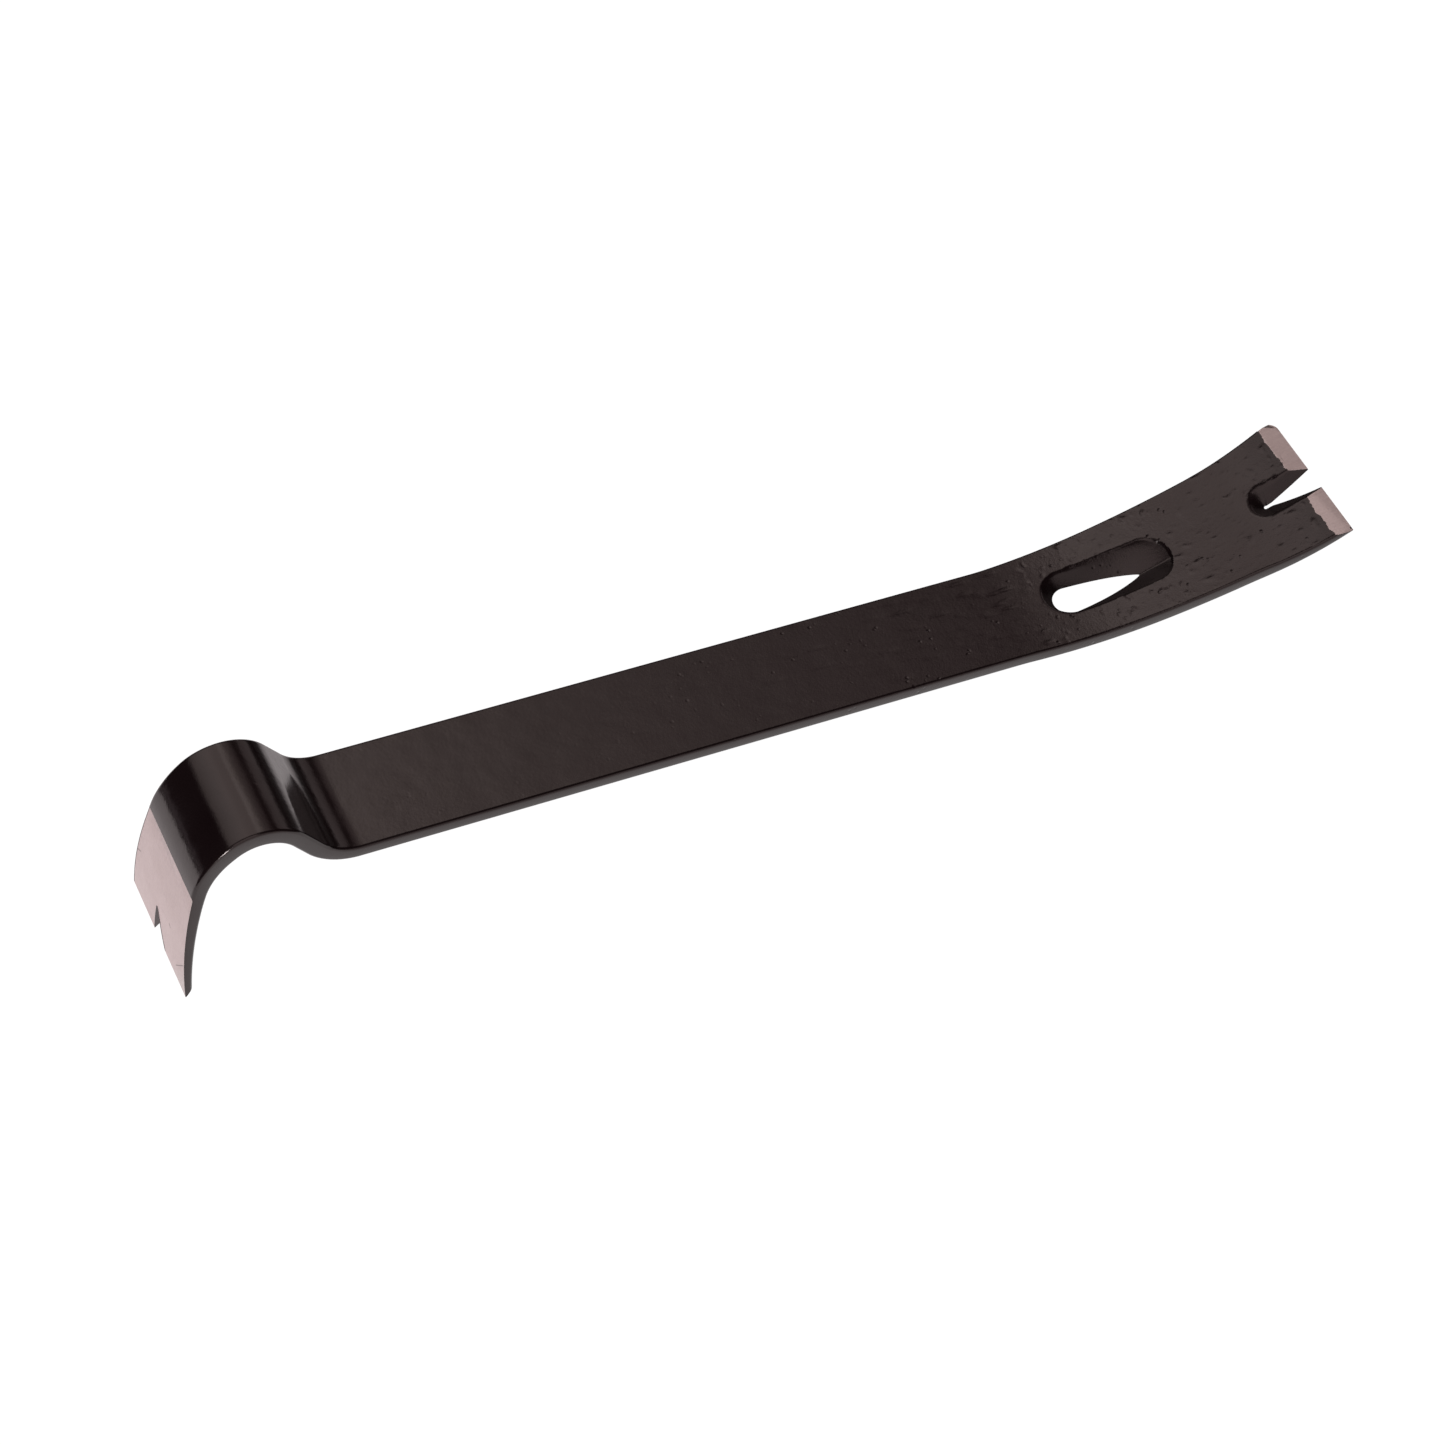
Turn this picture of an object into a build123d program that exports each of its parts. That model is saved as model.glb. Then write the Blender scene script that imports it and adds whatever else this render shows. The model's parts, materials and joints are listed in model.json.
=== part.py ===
from build123d import *

import os
from math import asin, atan2, cos, degrees, hypot, radians, sin

# Flat pry bar: a bent strip of forged steel under a lacquer coat.
# It lies on the hook's tip and on the heel of the claw, which touch Z = 0. X runs from
# the hook (-X) to the claw (+X), and the origin is under the middle of the bar.

# ---- Strip, seen from the side (mm, degrees) -------------------------------------
REST_LENGTH = 380.8  # overall, as it lies
SHANK_LENGTH = 216.4
SHANK_THICKNESS = 4.4
SHANK_WIDTH = 36.1
CROWN_WIDTH = 35.2
HOOK_WIDTH = 44.4
NECK_WIDTH = 43.2  # where the claw blade starts
CLAW_WIDTH = 49.3
OUTLINE_BLEND = 150.0  # radius where the outline changes direction
# Bends outwards from each end of the straight shank: length, turn (up is positive),
# and the thickness that the strip has reached at its end.
HOOK_BENDS = (
    (15.8, 50.7, 5.4),  # reverse bend that lifts the strip off the shank
    (7.6, 0.0, 5.4),
    (22.4, -88.9, 5.8),  # crown
    (17.3, -37.2, 4.5),
    (39.6, -15.5, 2.7),  # hook blade
)
CROWN_END = 45.8  # length of the first three bends
STRAIGHT_CROWN = 6.0  # of the crown's sides, next to it
CLAW_BENDS = (
    (43.6, 12.0, 4.7),  # heel
    (37.3, 6.9, 4.45),
    (29.0, 18.9, 2.85),  # claw blade
)
HOOK = (0.0, -1, HOOK_BENDS)
CLAW = (SHANK_LENGTH, 1, CLAW_BENDS)
HEEL_CONTACT = 0.6  # where the heel touches the floor, as a part of its bend
FAR_CORNER_RADIUS = 3.4  # claw corner at +Y, worn round
NEAR_CORNER_RADIUS = 0.6
EDGE_RADIUS = 1.0  # along both faces
LONG_EDGE = SHANK_LENGTH - 20.0  # only these edges are longer, and are rounded

# ---- Nail slot in the heel -------------------------------------------------------
SLOT_AT = 36.8  # middle of the slot, along the claw's bends
SLOT_ROUND_AT = -13.1  # centre of its wide round end, from the middle
SLOT_POINT_AT = 12.0  # tip of the teardrop in the lower face
SLOT_END_AT = 21.7  # far end of the rim in the upper face
SLOT_ROUND_RADIUS = 5.05  # in the lower face
SLOT_RIM_RADIUS = 8.2  # in the upper face
SLOT_LOWER_FACE = -1.9  # heights of the faces at the round end, from the slot's plane
SLOT_UPPER_FACE = 2.7
SLOT_RUN_OUT = 12.0  # how far the walls are drawn past the point
SLOT_FLARE = 4.2  # how much wider they open there, on each side
SLOT_CREASE_DRIFT = -1.5  # how far the valley between them strays sideways there
SLOT_END_SLACK = 0.3  # the end wall is that much wider than the rim

# ---- Nail notch in the claw ------------------------------------------------------
CLAW_NOTCH_PLANE = 10.0  # from the tip, along the strip
CLAW_NOTCH_DEPTH = 17.3  # apex in the lower face, from the tip
CLAW_NOTCH_RIM = 21.3  # end of the rim in the upper face, from the tip
CLAW_NOTCH_RIM_WIDTH = 11.8
CLAW_NOTCH_FALL = 4.9  # how far the line where the walls meet drops past the tip
CLAW_NOTCH_TAPER = 0.9  # how much each wall's top closes in there
CLAW_NOTCH_ROUNDING = 0.12  # how much fuller than a cone the closed end is
CLAW_NOTCH_LIFT = 0.3  # of the apex, above the lower face
CLAW_NOTCH_OFFSET = 0.4  # apex towards +Y
CLAW_NOTCH_SKEW = -4.5  # the notch opens slightly towards -Y

# ---- Nail notch in the hook ------------------------------------------------------
HOOK_NOTCH_DEPTH = 12.7
HOOK_NOTCH_MOUTH = 9.1
HOOK_NOTCH_APEX_Y = 2.0
HOOK_NOTCH_MOUTH_Y = -0.4
NOTCH_APEX_WIDTH = 0.7

# ---- Ground steel at both ends ---------------------------------------------------
HOOK_GROUND_LENGTH = 38.0  # of the hook's outer face, from the tip
GRIND_DEPTH = 0.4
GRIND_RAMP = 1.2
HOOK_BEVEL = 3.0  # height of the bevel inside the hook's tip
CLAW_BEVEL = 5.6  # length of the bevel on top of the claw's tip
TIP_FLAT = 0.2  # what both bevels leave of the tip

# ---- Coat ------------------------------------------------------------------------
COAT = 0.15
CORE_DROP = 1.5  # the core's sloping walls are cut deeper by that many coats
REACH = 40.0  # how far the cutting tools extend past the bar
PAST = 4.0  # how far they run past a face or a tip


def station(run, s):
    """Centre, heading and thickness of the strip, s mm out along a run of bends."""
    start, sign, bends = run
    out, up, heading, thick = 0.0, 0.0, 0.0, SHANK_THICKNESS
    for length, turn, end_thick in bends:
        step = min(s, length)
        bend = radians(turn) * step / length
        chord = 2 * step / bend * sin(bend / 2) if bend else step
        out += chord * cos(heading + bend / 2)
        up += chord * sin(heading + bend / 2)
        heading += bend
        thick += (end_thick - thick) * step / length
        s -= step
    return start + sign * out, up, heading, thick


def face_point(run, s, face, depth=0.0):
    """Point in the side view, at a depth below the upper (face = 1) or lower (-1) face."""
    x, z, heading, thick = station(run, s)
    half = face * (thick / 2 - depth)
    return x - run[1] * half * sin(heading), z + half * cos(heading)


def run_length(run):
    return sum(length for length, _, _ in run[2])


CLAW_TIP_X = face_point(CLAW, run_length(CLAW), -1)[0] - 0.1

# The floor touches the hook's outer tip and is tangent to the heel's lower face.
tip_x, tip_z = face_point(HOOK, run_length(HOOK), 1, GRIND_DEPTH + TIP_FLAT)
heel_radius = CLAW_BENDS[0][0] / radians(CLAW_BENDS[0][1])
heel_face_radius = heel_radius + station(CLAW, CLAW_BENDS[0][0] * HEEL_CONTACT)[3] / 2
to_heel = (SHANK_LENGTH - tip_x, heel_radius - tip_z)
REST_TILT = degrees(atan2(to_heel[1], to_heel[0]) - asin(heel_face_radius / hypot(*to_heel)))

tilt = radians(REST_TILT)
along = Vector(cos(tilt), 0, -sin(tilt))
normal = Vector(sin(tilt), 0, cos(tilt))
ORIGIN = -(along * tip_x + normal * tip_z) - Vector(REST_LENGTH / 2, 0, 0)
shank = Plane(origin=ORIGIN, x_dir=along, z_dir=normal)
side = Plane(origin=ORIGIN, x_dir=along, z_dir=(0, -1, 0))
front = Plane(origin=ORIGIN, x_dir=(0, 1, 0), z_dir=along)


def strip_plane(run, s):
    """Plane on the strip's middle surface, its local X along the strip towards the claw."""
    x, z, heading = station(run, s)[:3]
    rise = run[1] * sin(heading)
    return Plane(
        origin=shank.from_local_coords((x, 0, z)),
        x_dir=along * cos(heading) + normal * rise,
        z_dir=normal * cos(heading) - along * rise,
    )


def across(plane, u):
    """Plane square to the strip at u along a strip plane; local X is +Y, local Y is up."""
    return Plane(origin=plane.from_local_coords((u, 0, 0)), x_dir=plane.y_dir, z_dir=plane.x_dir)


def slot_cutter(grow):
    """Nail slot: a wide conical end, and walls that meet in a valley beyond the teardrop."""
    middle = strip_plane(CLAW, SLOT_AT).offset(-CORE_DROP * grow)
    slope = (SLOT_RIM_RADIUS - SLOT_ROUND_RADIUS) / (SLOT_UPPER_FACE - SLOT_LOWER_FACE)
    top = SLOT_UPPER_FACE + PAST / 2
    bottom = SLOT_LOWER_FACE - SLOT_ROUND_RADIUS / slope
    fall = (SLOT_LOWER_FACE - bottom) / (SLOT_POINT_AT - SLOT_ROUND_AT)
    end = SLOT_POINT_AT + SLOT_RUN_OUT
    end_bottom = bottom + fall * (end - SLOT_ROUND_AT)
    round_top = slope * (top - bottom)
    end_top = round_top + SLOT_FLARE
    rim_radius = SLOT_RIM_RADIUS + SLOT_END_SLACK + grow
    start = across(middle, SLOT_ROUND_AT)
    with BuildPart() as cutter:
        with BuildSketch(start):
            Polygon((0, bottom), (round_top, top), (0, top), align=None)
        revolve(axis=Axis(start.origin, start.y_dir), revolution_arc=180)
        with BuildSketch(start):
            Polygon((-round_top, top), (0, bottom), (round_top, top), align=None)
        with BuildSketch(across(middle, end)):
            Polygon((-end_top, top), (SLOT_CREASE_DRIFT, end_bottom), (end_top, top), align=None)
        loft(ruled=True)
        with BuildSketch(middle.offset(-REACH / 2)):
            with Locations((SLOT_END_AT + grow - rim_radius, 0)):
                Circle(rim_radius)
                Rectangle(2 * REACH, 2 * rim_radius, align=(Align.MAX, Align.CENTER))
        extrude(amount=REACH, mode=Mode.INTERSECT)
    return cutter.part


def claw_notch_cutter(grow):
    """Claw notch: a vee that widens to the tip, with a rounded, sloping closed end."""
    length = run_length(CLAW)
    plane = strip_plane(CLAW, length - CLAW_NOTCH_PLANE).offset(-CORE_DROP * grow)
    apex_u = CLAW_NOTCH_PLANE - CLAW_NOTCH_DEPTH
    rise = station(CLAW, length - CLAW_NOTCH_DEPTH)[3]
    low, top = CLAW_NOTCH_LIFT - rise / 2, PAST
    scale = (top - low) / rise
    top_half = CLAW_NOTCH_RIM_WIDTH / 2 * scale
    mouth_half = top_half - CLAW_NOTCH_TAPER
    closed_end = (CLAW_NOTCH_RIM - CLAW_NOTCH_DEPTH) * (scale - CLAW_NOTCH_ROUNDING)
    out = CLAW_NOTCH_DEPTH + PAST
    frame = Plane(
        origin=plane.from_local_coords((apex_u, CLAW_NOTCH_OFFSET, 0)),
        x_dir=plane.x_dir.rotate(Axis((0, 0, 0), plane.z_dir), CLAW_NOTCH_SKEW),
        z_dir=plane.z_dir,
    )
    with BuildPart() as cutter:
        with BuildSketch(frame.offset(top)):
            with Locations((top_half - closed_end, 0)):
                Circle(top_half)
        with BuildSketch(frame.offset(low - TIP_FLAT)):
            Circle(NOTCH_APEX_WIDTH / 2 + grow)
        loft()
        with BuildSketch(across(frame, 0)):
            Polygon((-top_half, top), (0, low), (top_half, top), align=None)
        with BuildSketch(across(frame, out)):
            Polygon((-mouth_half, top), (0, low - CLAW_NOTCH_FALL), (mouth_half, top), align=None)
        loft(ruled=True)
        with BuildSketch(frame.offset(-REACH / 4)):
            Rectangle(out, NOTCH_APEX_WIDTH + 2 * grow, align=(Align.MIN, Align.CENTER))
        extrude(amount=REACH / 4)
    return cutter.part


def hook_notch_cutter(grow):
    """Plain vee through the hook's tip."""
    apex, mouth = NOTCH_APEX_WIDTH / 2 + grow, HOOK_NOTCH_MOUTH / 2 + grow
    apex_z, past_z = tip_z + HOOK_NOTCH_DEPTH + grow, tip_z - PAST
    past = (HOOK_NOTCH_DEPTH + PAST) / HOOK_NOTCH_DEPTH
    past_y = HOOK_NOTCH_APEX_Y + (HOOK_NOTCH_MOUTH_Y - HOOK_NOTCH_APEX_Y) * past
    past_half = apex + (mouth - apex) * past
    with BuildPart() as cutter:
        with BuildSketch(front.offset(tip_x - REACH / 4)):
            Polygon(
                (HOOK_NOTCH_APEX_Y - apex, apex_z),
                (HOOK_NOTCH_APEX_Y + apex, apex_z),
                (past_y + past_half, past_z),
                (past_y - past_half, past_z),
                align=None,
            )
        extrude(amount=REACH / 2)
    return cutter.part


def bend_ends(run):
    """Distances along a run at which its bends start and end."""
    stops = [0.0]
    for length, _, _ in run[2]:
        stops.append(stops[-1] + length)
    return stops


def draw_face(run, face, inset):
    """One face of a run in the side view: an arc or a line for each bend."""
    stops = bend_ends(run)
    for (_, turn, _), first, last in zip(run[2], stops, stops[1:]):
        ends = face_point(run, first, face, inset), face_point(run, last, face, inset)
        if turn:
            ThreePointArc(ends[0], face_point(run, (first + last) / 2, face, inset), ends[1])
        else:
            Line(*ends)
    return ends[1]


def outline(inset):
    """Block as wide as the bar: its plan from the crown to the claw, its front view below."""
    crown_x, crown_z = station(HOOK, CROWN_END)[:2]
    crown, half_shank = CROWN_WIDTH / 2 - inset, SHANK_WIDTH / 2 - inset
    plan_edge = [
        (crown_x, crown),
        (crown_x + STRAIGHT_CROWN, crown),
        (0, half_shank),
        (SHANK_LENGTH, half_shank),
        (CLAW_TIP_X - CLAW_BENDS[2][0] + 1, NECK_WIDTH / 2 - inset),
        (CLAW_TIP_X, CLAW_WIDTH / 2 - inset),
    ]
    front_edge = [
        (crown, crown_z + REACH / 2),
        (crown, crown_z - 2 * STRAIGHT_CROWN),
        (HOOK_WIDTH / 2 - inset, tip_z - TIP_FLAT),
    ]
    with BuildPart() as block:
        with BuildSketch(shank.offset(-1.5 * REACH)):
            with BuildLine():
                edge = FilletPolyline(*plan_edge, radius=OUTLINE_BLEND)
                mirrored = mirror(edge, about=Plane.XZ)
                Line(edge @ 0, mirrored @ 0)
                Line(edge @ 1, mirrored @ 1)
            make_face()
        extrude(amount=3 * REACH)
        with BuildSketch(front.offset(crown_x)):
            with BuildLine():
                edge = FilletPolyline(*front_edge, radius=OUTLINE_BLEND)
                mirrored = mirror(edge, about=Plane.YZ)
                Line(edge @ 0, mirrored @ 0)
                Line(edge @ 1, mirrored @ 1)
            make_face()
        extrude(amount=-REACH)
    return block.part


def blank(inset):
    """The bar before its slots and ground faces, with every face moved in by inset."""
    with BuildPart() as bar:
        with BuildSketch(side.offset(-REACH)):
            with BuildLine():
                for run in (HOOK, CLAW):
                    Line(draw_face(run, 1, inset), draw_face(run, -1, inset))
                for face in (1, -1):
                    Line(face_point(HOOK, 0, face, inset), face_point(CLAW, 0, face, inset))
            make_face()
        extrude(amount=2 * REACH)
        add(outline(inset), mode=Mode.INTERSECT)
        long_edges = bar.edges().filter_by(lambda edge: edge.length > LONG_EDGE)
        fillet(long_edges, EDGE_RADIUS - inset)
    return bar.part


def corner_cutter(sign, radius):
    """What rounding takes off one corner of the claw's tip."""
    reach = CLAW_WIDTH / 2
    with BuildPart() as cutter:
        with BuildSketch(shank.offset(-REACH)):
            with Locations((CLAW_TIP_X - radius, sign * (reach - radius))):
                Rectangle(2 * radius, sign * 2 * radius, align=Align.MIN)
                Circle(radius, mode=Mode.SUBTRACT)
        extrude(amount=3 * REACH)
    return cutter.part


def grind_cutter():
    """Everything that grinding takes off the hook's outer face and both tips."""
    hook_tip, claw_tip = run_length(HOOK), run_length(CLAW)
    start = hook_tip - HOOK_GROUND_LENGTH
    ground = [face_point(HOOK, s, 1, GRIND_DEPTH) for s in (start, (start + hook_tip) / 2, hook_tip)]
    outer = face_point(HOOK, start - GRIND_RAMP, 1, -TIP_FLAT / 2)
    edge = face_point(CLAW, claw_tip, -1, TIP_FLAT)
    bevel = face_point(CLAW, claw_tip - CLAW_BEVEL, 1)
    slope = (edge[0] - bevel[0], edge[1] - bevel[1])
    inside = face_point(HOOK, hook_tip - HOOK_BEVEL, -1)
    sharp = face_point(HOOK, hook_tip, 1, GRIND_DEPTH + TIP_FLAT)
    fall = (sharp[0] - inside[0], sharp[1] - inside[1])
    with BuildPart() as cutter:
        with BuildSketch(side.offset(-REACH)):
            with BuildLine():
                Line(outer, ground[0])
                ThreePointArc(*ground)
                Polyline(
                    ground[2],
                    (ground[2][0], ground[2][1] - PAST),
                    (ground[2][0] - PAST, ground[2][1] - PAST),
                    (outer[0] - 3 * PAST, outer[1]),
                    outer,
                )
            make_face()
            Polygon(
                (bevel[0] - slope[0], bevel[1] - slope[1]),
                (edge[0] + slope[0], edge[1] + slope[1]),
                (edge[0] + slope[0], edge[1] + slope[1] + 2 * PAST),
                (bevel[0] - slope[0], bevel[1] - slope[1] + 2 * PAST),
                align=None,
            )
            Polygon(
                (inside[0] - fall[0], inside[1] - fall[1]),
                (sharp[0] + fall[0], sharp[1] + fall[1]),
                (inside[0] - fall[0], sharp[1] + fall[1]),
                align=None,
            )
        extrude(amount=2 * REACH)
    return cutter.part


def bar(inset):
    """The finished bar with every face but the ground ones moved in by inset."""
    with BuildPart() as solid:
        add(blank(inset))
        add(slot_cutter(inset), mode=Mode.SUBTRACT)
        add(claw_notch_cutter(inset), mode=Mode.SUBTRACT)
        add(hook_notch_cutter(inset), mode=Mode.SUBTRACT)
        add(corner_cutter(1, FAR_CORNER_RADIUS), mode=Mode.SUBTRACT)
        add(corner_cutter(-1, NEAR_CORNER_RADIUS), mode=Mode.SUBTRACT)
        add(grind_cutter(), mode=Mode.SUBTRACT)
    return solid.part


# ---- Forging: tempered steel, bare where it is ground ----------------------------
with BuildPart() as forged_bar:
    add(bar(COAT))

# ---- Lacquer: a skin over all that isn't ground ----------------------------------
with BuildPart() as lacquer_coat:
    add(bar(0))
    add(forged_bar.part, mode=Mode.SUBTRACT)

os.makedirs("parts", exist_ok=True)
forged_bar.part.label = "forged_bar"
export_step(forged_bar.part, "parts/forged_bar.step")
lacquer_coat.part.label = "lacquer_coat"
export_step(lacquer_coat.part, "parts/lacquer_coat.step")
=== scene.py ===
"""Looks of the flat pry bar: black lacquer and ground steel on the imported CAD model.

The bar's lengths are in millimetres and its angles in degrees. The camera, the floor and
the light are placed in metres.
"""

import json
import math

import bmesh
import bpy
import numpy as np
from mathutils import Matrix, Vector, noise


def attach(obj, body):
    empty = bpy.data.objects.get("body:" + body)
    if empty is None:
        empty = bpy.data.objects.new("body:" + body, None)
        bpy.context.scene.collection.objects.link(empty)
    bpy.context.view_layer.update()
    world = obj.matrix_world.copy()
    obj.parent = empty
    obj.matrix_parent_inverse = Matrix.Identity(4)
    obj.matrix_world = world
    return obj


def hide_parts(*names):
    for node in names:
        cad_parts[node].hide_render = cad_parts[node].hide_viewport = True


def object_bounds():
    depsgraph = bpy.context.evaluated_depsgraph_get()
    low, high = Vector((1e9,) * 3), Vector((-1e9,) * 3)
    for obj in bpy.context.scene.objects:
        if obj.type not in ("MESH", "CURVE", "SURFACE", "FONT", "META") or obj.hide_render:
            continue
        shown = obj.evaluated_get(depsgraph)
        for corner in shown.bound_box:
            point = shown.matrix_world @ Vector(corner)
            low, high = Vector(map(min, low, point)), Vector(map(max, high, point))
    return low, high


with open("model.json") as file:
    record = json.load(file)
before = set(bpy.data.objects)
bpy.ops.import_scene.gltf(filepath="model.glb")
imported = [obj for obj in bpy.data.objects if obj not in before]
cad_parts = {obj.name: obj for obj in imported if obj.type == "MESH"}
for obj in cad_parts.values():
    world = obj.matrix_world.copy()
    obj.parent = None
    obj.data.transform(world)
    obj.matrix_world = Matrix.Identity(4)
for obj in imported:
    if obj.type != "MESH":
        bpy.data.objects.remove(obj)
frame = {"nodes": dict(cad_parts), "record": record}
cad_low, cad_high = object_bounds()

MM = 0.001

# ---- Camera and studio ------------------------------------------------------------
CAMERA_AZIMUTH = 24.96  # from +Y towards +X, the way the camera looks
CAMERA_ELEVATION = 52.91
CAMERA_DISTANCE = 1.0389
CAMERA_AIM = Vector((-0.0175, -0.0114, 0.020))
LENS = 88.19
SENSOR = 36

FLOOR_LEFT = -0.37
FLOOR_REACH = 3.0

# Brightness of the studio by the angle from straight up, positive towards +X
BANDS = [
    (-180, (0.9, 0.9, 0.9)),
    (-107, (0.7, 0.7, 0.7)),
    (-103, (0.04, 0.03, 0.035)),
    (-99, (0.04, 0.03, 0.035)),
    (-97.5, (0.35, 0.30, 0.32)),
    (-95.5, (0.30, 0.26, 0.28)),
    (-93.5, (0.012, 0.008, 0.010)),
    (-46, (0.015, 0.010, 0.012)),
    (-38, (0.70, 0.63, 0.61)),
    (-20, (1.00, 0.92, 0.90)),
    (-6, (1.18, 1.06, 1.03)),
    (5, (1.05, 0.93, 0.90)),
    (13, (0.98, 0.86, 0.83)),
    (19, (1.45, 1.33, 1.29)),
    (25, (1.03, 0.91, 0.87)),
    (28, (0.70, 0.61, 0.58)),
    (32, (0.54, 0.46, 0.45)),
    (40, (0.34, 0.27, 0.27)),
    (47, (0.06, 0.04, 0.04)),
    (53, (0.06, 0.04, 0.04)),
    (60, (0.44, 0.37, 0.37)),
    (76, (0.50, 0.43, 0.43)),
    (81, (0.02, 0.015, 0.015)),
    (92, (0.02, 0.015, 0.015)),
    (97, (0.9, 0.9, 0.9)),
    (180, (0.9, 0.9, 0.9)),
]
# How much of it is there by the Y of a direction, whose negative end is the camera's side
DEPTHS = [
    (-1.0, 0.62),
    (-0.76, 0.62),
    (-0.60, 0.02),
    (0.26, 0.02),
    (0.44, 1.0),
    (0.74, 1.0),
    (0.90, 0.04),
    (1.0, 0.04),
]
FRONT_BOX = (-0.5, (0.95, 0.86, 0.85, 1))  # the Y where the soft box in front starts, its colour
# A soft box overhead, by the same angle and by the same Y
LID_BANDS = [(-180, 0), (-42, 0), (-28, 1), (10, 1), (17, 0), (180, 0)]
LID_DEPTHS = [(-1, 0), (-0.76, 0), (-0.6, 0.85), (-0.1, 0.85), (0.07, 0), (1, 0)]
LID_TINT = (1, 0.88, 0.87)

# ---- The bar, as in the CAD source --------------------------------------------------
THICKNESS, SHANK_LENGTH = 4.4, 216.4
HOOK_BENDS = (  # length, turn, thickness at its end
    (15.8, 50.7, 5.4),
    (7.6, 0, 5.4),
    (22.4, -88.9, 5.8),
    (17.3, -37.2, 4.5),
    (39.6, -15.5, 2.7),
)
CLAW_BENDS = ((43.6, 12.0, 4.7), (37.3, 6.9, 4.45), (29.0, 18.9, 2.85))
HOOK_LENGTH = sum(bend[0] for bend in HOOK_BENDS)
CLAW_LENGTH = sum(bend[0] for bend in CLAW_BENDS)
HOOK_END = -HOOK_LENGTH  # along the strip, from where the shank starts
CLAW_END = SHANK_LENGTH + CLAW_LENGTH
EDGE_RADIUS = 1.0
CROWN_AT = 45.8
GRIND_START, GRIND_RAMP, GRIND_DEPTH = 38.0, 1.2, 0.4
HOOK_BEVEL, CLAW_BEVEL, TIP_FLAT = 3.0, 5.6, 0.2
FAR_CORNER, NEAR_CORNER = 3.4, 0.6
CORNER_Y = 24.65  # half the width at the claw's edge
BEFORE_TIP = 0.1  # how far before the claw's lower edge the corners end

SLOT_AT = SHANK_LENGTH + 36.8
SLOT_ROUND, SLOT_POINT, SLOT_RUN_OUT, SLOT_END = -13.1, 12.0, 12.0, 21.7
SLOT_LOW_RADIUS, SLOT_RIM_RADIUS = 5.05, 8.2
SLOT_LOWER_FACE, SLOT_UPPER_FACE = -1.9, 2.7
SLOT_FLARE, SLOT_DRIFT = 4.2, -1.5
SLOT_WALL_SLOPE = 3.2  # of the rim's steep outer wall

CLAW_NOTCH_DEPTH, CLAW_NOTCH_RIM, CLAW_NOTCH_WIDTH = 17.3, 21.3, 11.8
CLAW_NOTCH_PLANE, CLAW_NOTCH_Y, CLAW_NOTCH_SKEW = 10, 0.4, -4.5
CLAW_NOTCH_FALL, CLAW_NOTCH_TAPER, CLAW_NOTCH_ROUNDING = 4.9, 0.9, 0.35

HOOK_NOTCH_DEPTH, HOOK_NOTCH_HALF, HOOK_NOTCH_TAPER = 12.7, 4.55, 4.2
HOOK_NOTCH_Y, HOOK_NOTCH_LEAN = -0.4, 2.4

# ---- Finish -------------------------------------------------------------------------
RIM_ROUNDING, RIM_ROUNDING_AT_BEVEL = 1.15, 0.45
WINDOW = 24  # how far from the slot's middle, and from the claw's edge, the mesh is fine
LIP = 0.14  # thickness of the lacquer that shows at its border
TUCK = 0.25  # how far the steel is drawn in under the lacquer
SCRATCHES = ((-17, 8.8, 5.0, -1.2), (19, 18.4, 3.0, -0.6), (-8, 16.0, 1.2, 0.5))  # y, z, length, slope
WHITE = (1, 1, 1, 1)


# ---- Materials ----------------------------------------------------------------------
def join(tree, value, socket):
    """Links an output to a socket, or sets the socket to a plain value."""
    if hasattr(value, "is_output"):
        tree.links.new(value, socket)
    else:
        socket.default_value = value


def mixed(tree, blend, factor, a, b):
    node = tree.nodes.new("ShaderNodeMix")
    node.data_type, node.blend_type = "RGBA", blend
    join(tree, factor, node.inputs[0])
    join(tree, a, node.inputs[6])
    join(tree, b, node.inputs[7])
    return node.outputs[2]


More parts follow.
